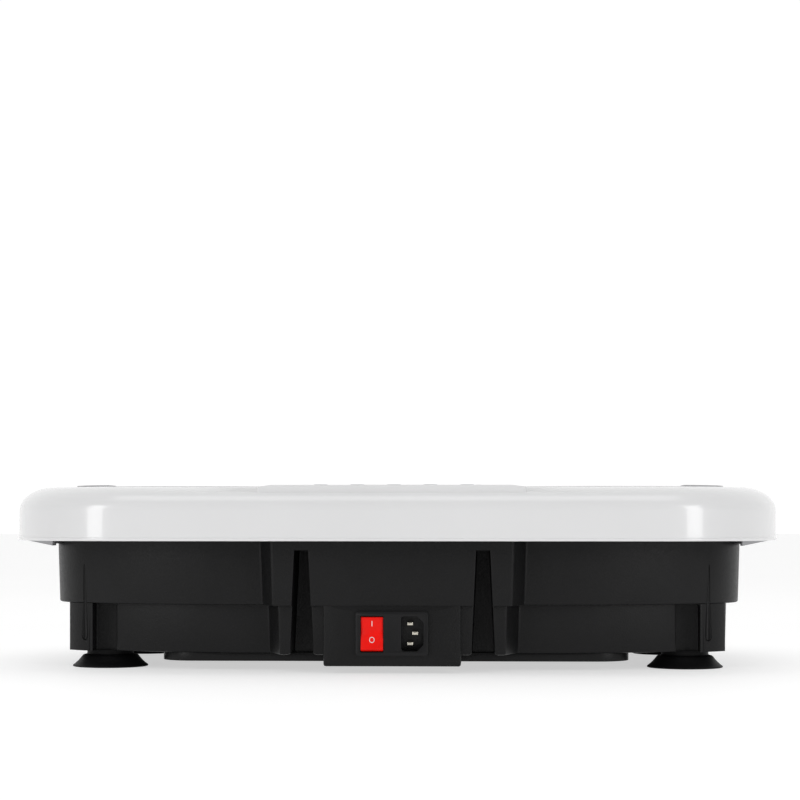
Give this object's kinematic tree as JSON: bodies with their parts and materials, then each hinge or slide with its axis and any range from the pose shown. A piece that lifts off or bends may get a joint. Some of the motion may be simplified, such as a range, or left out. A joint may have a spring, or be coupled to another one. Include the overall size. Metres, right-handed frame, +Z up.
{
  "type": "vibration plate",
  "caption": "Low rocking exercise plate: a wide rounded deck on a stepped base with suction feet, a mains inlet with a rocker switch, and a belt and crank drive inside.",
  "frame": {"origin": "on the floor under the middle of the deck", "axes": "+X along the deck's length, +Y from the mains inlet to the far side, +Z up"},
  "size_m": [0.55, 0.34, 0.1325],
  "materials": {
    "textured_black_plastic": "fine spark-eroded texture",
    "satin_black_plastic": "satin",
    "black_rubber": "moulded matt",
    "white_gloss_plastic": "gloss",
    "white_satin_plastic": "satin",
    "pink_rubber": "soft satin",
    "grey_mat": "soft textured",
    "red_plastic": "semi gloss",
    "console_plastic": "gloss film",
    "button_plastic": "satin",
    "smoked_window": "smoked gloss",
    "circuit_board": "solder mask",
    "transformer_core": "varnished",
    "painted_steel": "satin",
    "motor_steel": "satin",
    "zinc_steel": "zinc plated",
    "ground_steel": "ground",
    "cast_iron": "as cast",
    "cast_aluminium": "machined",
    "nickel_brass": "nickel plated",
    "bronze": "sintered",
    "brown_wire": "insulation",
    "blue_wire": "insulation",
    "pale_wire": "insulation"
  },
  "bodies": {
    "base": {"base_tub": "textured_black_plastic", "bottom_pan": "textured_black_plastic", "suction_foot_front_left": "black_rubber", "suction_foot_front_right": "black_rubber", "suction_foot_rear_left": "black_rubber", "suction_foot_rear_right": "black_rubber", "foot_bolts": "zinc_steel", "foot_nuts": "zinc_steel", "base_frame": "painted_steel", "chassis_screws": "zinc_steel", "pivot_block_front": "cast_iron", "pivot_block_rear": "cast_iron", "pivot_shaft": "ground_steel", "crank_block_front": "cast_iron", "crank_block_rear": "cast_iron", "crank_bearing_front": "ground_steel", "crank_bearing_rear": "ground_steel", "motor_body": "motor_steel", "motor_cradle": "painted_steel", "drive_belt": "black_rubber", "buffer_posts": "painted_steel", "rubber_buffers": "black_rubber", "power_board": "circuit_board", "transformer": "transformer_core", "inlet_housing": "satin_black_plastic", "inlet_pins": "nickel_brass", "mains_leads": "brown_wire", "motor_leads": "blue_wire", "display_lead": "pale_wire", "block_screws": "zinc_steel"},
    "deck": {"deck_cover": "white_gloss_plastic", "deck_tray": "white_satin_plastic", "deck_frame": "painted_steel", "pivot_hanger_front": "cast_iron", "pivot_hanger_rear": "cast_iron", "pivot_bushes": "bronze", "rod_clevis": "cast_iron", "rod_pin": "ground_steel", "tray_screws": "zinc_steel", "foot_mat_left": "grey_mat", "foot_mat_right": "grey_mat", "mat_accents": "pink_rubber", "nub_strip": "pink_rubber", "console_panel": "console_plastic", "display_window": "smoked_window", "display_board": "circuit_board", "ir_window": "smoked_window"},
    "crank": {"crank_shaft": "ground_steel", "eccentric_bearing": "ground_steel", "driven_pulley": "cast_aluminium"},
    "rod": {"connecting_rod": "cast_iron", "rod_bush": "bronze"},
    "rotor": {"motor_rotor": "ground_steel", "motor_pulley": "cast_aluminium"},
    "rocker": {"rocker_switch": "red_plastic"},
    "button_power": {"button_power": "button_plastic"},
    "button_mode": {"button_mode": "button_plastic"},
    "button_slower": {"button_slower": "button_plastic"},
    "button_faster": {"button_faster": "button_plastic"},
    "button_timer": {"button_timer": "button_plastic"}
  },
  "joints": [
    {"name": "deck_rock", "type": "hinge", "parent": "base", "child": "deck", "pos_m": [0, 0, 0.078], "axis": [0, 1, 0], "range_deg": [-1, 1], "stiffness_Nm_per_rad": 400},
    {"name": "crank_spin", "type": "hinge", "parent": "base", "child": "crank", "pos_m": [0.09, 0, 0.06], "axis": [0, 1, 0], "continuous": true},
    {"name": "motor_spin", "type": "hinge", "parent": "base", "child": "rotor", "pos_m": [0.17, 0, 0.06], "axis": [0, 1, 0], "continuous": true},
    {"name": "rod_swing", "type": "hinge", "parent": "deck", "child": "rod", "pos_m": [0.09, 0, 0.097], "axis": [0, 1, 0], "range_deg": [-1, 1]},
    {"name": "switch_rock", "type": "hinge", "parent": "base", "child": "rocker", "pos_m": [-0.0139, -0.1465, 0.0276], "axis": [1, 0, 0], "range_deg": [0, 18]},
    {"name": "button_power_press", "type": "slide", "parent": "deck", "child": "button_power", "axis": [0, 0, -1], "range_m": [0, 0.0008], "stiffness_N_per_m": 400},
    {"name": "button_mode_press", "type": "slide", "parent": "deck", "child": "button_mode", "axis": [0, 0, -1], "range_m": [0, 0.0008], "stiffness_N_per_m": 400},
    {"name": "button_slower_press", "type": "slide", "parent": "deck", "child": "button_slower", "axis": [0, 0, -1], "range_m": [0, 0.0008], "stiffness_N_per_m": 400},
    {"name": "button_faster_press", "type": "slide", "parent": "deck", "child": "button_faster", "axis": [0, 0, -1], "range_m": [0, 0.0008], "stiffness_N_per_m": 400},
    {"name": "button_timer_press", "type": "slide", "parent": "deck", "child": "button_timer", "axis": [0, 0, -1], "range_m": [0, 0.0008], "stiffness_N_per_m": 400}
  ],
  "couplings": [
    {"joint": "motor_spin", "follows": "crank_spin", "ratio": 3}
  ]
}
